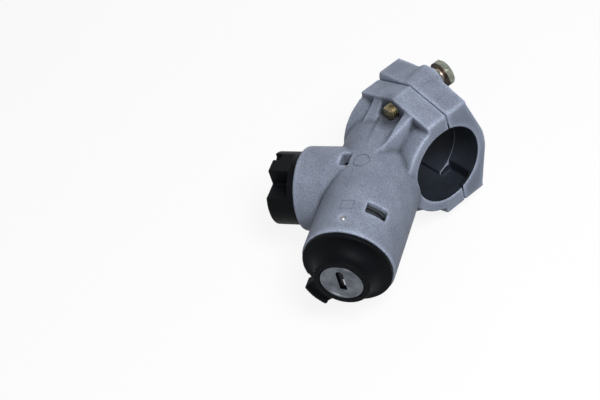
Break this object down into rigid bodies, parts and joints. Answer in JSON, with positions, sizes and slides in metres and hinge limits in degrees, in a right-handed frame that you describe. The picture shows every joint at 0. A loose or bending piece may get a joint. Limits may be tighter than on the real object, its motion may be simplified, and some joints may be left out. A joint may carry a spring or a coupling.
{
  "type": "steering column lock",
  "caption": "Steering column lock: a cast body clamped round the column tube, a key barrel whose shaft drives a square lock bolt, and an ignition switch on a branch.",
  "frame": {"origin": "on the axis of the steering column, in the plane of the two clamp bolts", "axes": "+X along the column towards the driver, +Y along the clamp bolts towards the cap, +Z square to the plane that holds the column, barrel and switch axes"},
  "size_m": [0.1, 0.1256, 0.074],
  "materials": {
    "die_casting": "satin as-cast",
    "plated_steel": "zinc plated",
    "black_moulding": "fine moulded",
    "brass": "turned",
    "stainless": "bright",
    "steel": "ground",
    "spring_steel": "oiled",
    "contact_metal": "silvered copper",
    "tan_moulding": "fine moulded"
  },
  "bodies": {
    "body": {"lock_housing": "die_casting", "clamp_cap": "die_casting", "shear_bolts": "plated_steel", "key_bezel": "black_moulding", "cylinder_sleeve": "brass", "sleeve_pin": "plated_steel", "retaining_leaf": "spring_steel", "button_spring": "spring_steel", "spindle_bush": "tan_moulding", "switch_housing": "black_moulding", "fixed_contacts": "contact_metal", "switch_terminals": "contact_metal"},
    "rotor": {"lock_plug": "brass", "plug_cover": "stainless", "wafers": "brass", "wafer_springs": "spring_steel", "drive_shaft": "steel", "drive_gear": "steel", "follower_pin": "steel"},
    "bolt": {"lock_bolt": "steel"},
    "switch": {"switch_gear": "steel", "switch_rotor": "tan_moulding", "contact_bridge": "contact_metal", "bridge_springs": "spring_steel"},
    "button": {"release_button": "black_moulding"},
    "shutter": {"key_shutter": "stainless"}
  },
  "joints": [
    {"name": "plug_turn", "type": "hinge", "parent": "body", "child": "rotor", "pos_m": [0.04176, -0.08622, 0], "axis": [-0.5592, 0.829, 0], "range_deg": [-80, 25]},
    {"name": "bolt_slide", "type": "slide", "parent": "body", "child": "bolt", "axis": [-0.5592, 0.829, 0], "range_m": [-0.0026, 0.0081]},
    {"name": "switch_turn", "type": "hinge", "parent": "body", "child": "switch", "pos_m": [0.00709, -0.03482, 0], "axis": [-0.829, -0.5592, 0], "range_deg": [-80.5, 25.5]},
    {"name": "button_push", "type": "slide", "parent": "body", "child": "button", "axis": [-0.5592, 0.829, 0], "range_m": [0, 0.0025], "stiffness_N_per_m": 500, "springref_m": -0.002, "deforming": ["button_spring"]},
    {"name": "shutter_swing", "type": "hinge", "parent": "rotor", "child": "shutter", "pos_m": [0.03898, -0.0855, 0], "axis": [0, 0, 1], "range_deg": [0, 80], "stiffness_Nm_per_rad": 0.0005, "springref_deg": -17.19}
  ],
  "couplings": [
    {"joint": "bolt_slide", "follows": "plug_turn", "m_per_rad": -0.0057296},
    {"joint": "switch_turn", "follows": "plug_turn", "ratio": 1}
  ]
}
